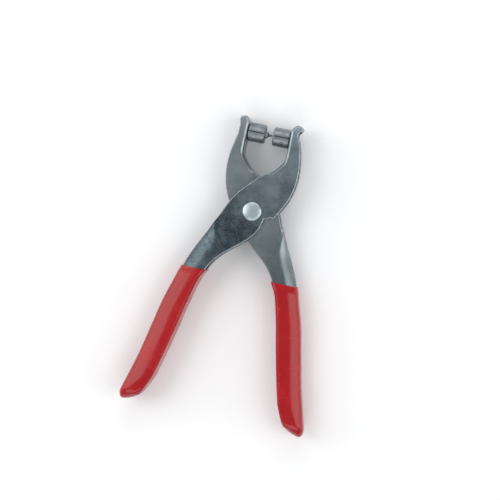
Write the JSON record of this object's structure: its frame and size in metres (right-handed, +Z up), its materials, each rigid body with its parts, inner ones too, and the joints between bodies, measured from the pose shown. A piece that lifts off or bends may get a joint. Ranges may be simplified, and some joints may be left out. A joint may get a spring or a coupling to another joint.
{
  "type": "eyelet pliers",
  "caption": "Hand pliers of folded steel sheet with sleeved handles and a facing nose and anvil die that roll over the barrel of a metal eyelet.",
  "frame": {"origin": "on the pivot rivet's axis, in the flat tail face that lies on the table", "axes": "+Y from the pivot to the jaws, +Z up from the table along the pivot axis, +X to the side of the anvil jaw"},
  "size_m": [0.0878, 0.141, 0.0162],
  "materials": {
    "dark_plated_steel": "satin plated sheet, cloudy blue-grey",
    "pale_plated_steel": "satin plated sheet, lighter grey",
    "red_sleeve": "glossy soft vinyl",
    "bright_steel": "bright plated",
    "die_steel": "turned and plated",
    "spring_wire": "drawn wire"
  },
  "bodies": {
    "rear": {"rear_lever": "pale_plated_steel", "rear_grip": "red_sleeve", "pivot_rivet": "bright_steel", "spacer_sleeve": "die_steel", "return_spring": "spring_wire", "nose_die": "die_steel", "nose_collar": "die_steel"},
    "front": {"front_lever": "dark_plated_steel", "front_grip": "red_sleeve", "anvil_die": "die_steel", "anvil_collar": "die_steel"}
  },
  "joints": [
    {"name": "pivot", "type": "hinge", "parent": "rear", "child": "front", "pos_m": [0, 0, 0.008], "axis": [0, 0, 1], "range_deg": [-15, 5], "stiffness_Nm_per_rad": 2, "deforming": ["return_spring"]}
  ]
}
